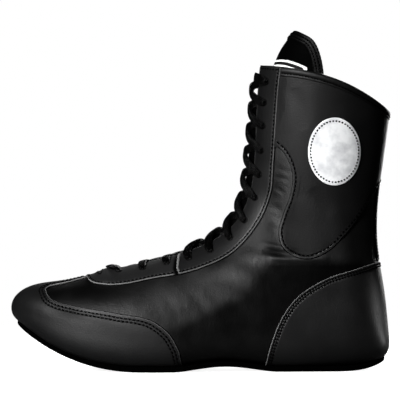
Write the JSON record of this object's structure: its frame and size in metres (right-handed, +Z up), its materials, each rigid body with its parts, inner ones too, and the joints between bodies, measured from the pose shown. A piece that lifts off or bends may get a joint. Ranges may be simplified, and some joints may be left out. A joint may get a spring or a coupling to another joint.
{
  "type": "boxing shoe",
  "caption": "High lace-up boxing shoe in black leather for the left foot, with a thin rubber sole, overlaid panels and a tall collar",
  "frame": {"origin": "on the floor plane that the sole rests on, in the middle of the shoe's box", "axes": "+X towards the heel, +Y towards the inner side of the foot, +Z up"},
  "size_m": [0.2904, 0.0966, 0.2591],
  "materials": {
    "black_leather": "satin full-grain leather",
    "black_rubber": "matt moulded rubber",
    "insole_board": "fabric-covered board",
    "silver_film": "satin silver-white film",
    "black_metal": "black lacquered eyelet",
    "black_lace": "flat woven lace"
  },
  "bodies": {
    "root": {"outsole": "black_rubber", "insole": "insole_board", "upper": "black_leather", "tongue": "black_leather", "toe_cap": "black_leather", "heel_counter": "black_leather", "shaft_panel": "black_leather", "back_strip": "black_leather", "eyestay_front": "black_leather", "eyestay_outer": "black_leather", "eyestay_inner": "black_leather", "collar_binding": "black_leather", "ankle_patch": "silver_film", "eyelet_outer_01": "black_metal", "eyelet_outer_02": "black_metal", "eyelet_outer_03": "black_metal", "eyelet_outer_04": "black_metal", "eyelet_outer_05": "black_metal", "eyelet_outer_06": "black_metal", "eyelet_outer_07": "black_metal", "eyelet_outer_08": "black_metal", "eyelet_outer_09": "black_metal", "eyelet_outer_10": "black_metal", "eyelet_outer_11": "black_metal", "eyelet_outer_12": "black_metal", "eyelet_outer_13": "black_metal", "eyelet_inner_01": "black_metal", "eyelet_inner_02": "black_metal", "eyelet_inner_03": "black_metal", "eyelet_inner_04": "black_metal", "eyelet_inner_05": "black_metal", "eyelet_inner_06": "black_metal", "eyelet_inner_07": "black_metal", "eyelet_inner_08": "black_metal", "eyelet_inner_09": "black_metal", "eyelet_inner_10": "black_metal", "eyelet_inner_11": "black_metal", "eyelet_inner_12": "black_metal", "eyelet_inner_13": "black_metal", "lace_front_bar": "black_lace", "lace_cross_01": "black_lace", "lace_cross_02": "black_lace", "lace_cross_03": "black_lace", "lace_cross_04": "black_lace", "lace_cross_05": "black_lace", "lace_cross_06": "black_lace", "lace_cross_07": "black_lace", "lace_cross_08": "black_lace", "lace_cross_09": "black_lace", "lace_cross_10": "black_lace", "lace_cross_11": "black_lace", "lace_cross_12": "black_lace"}
  },
  "joints": []
}
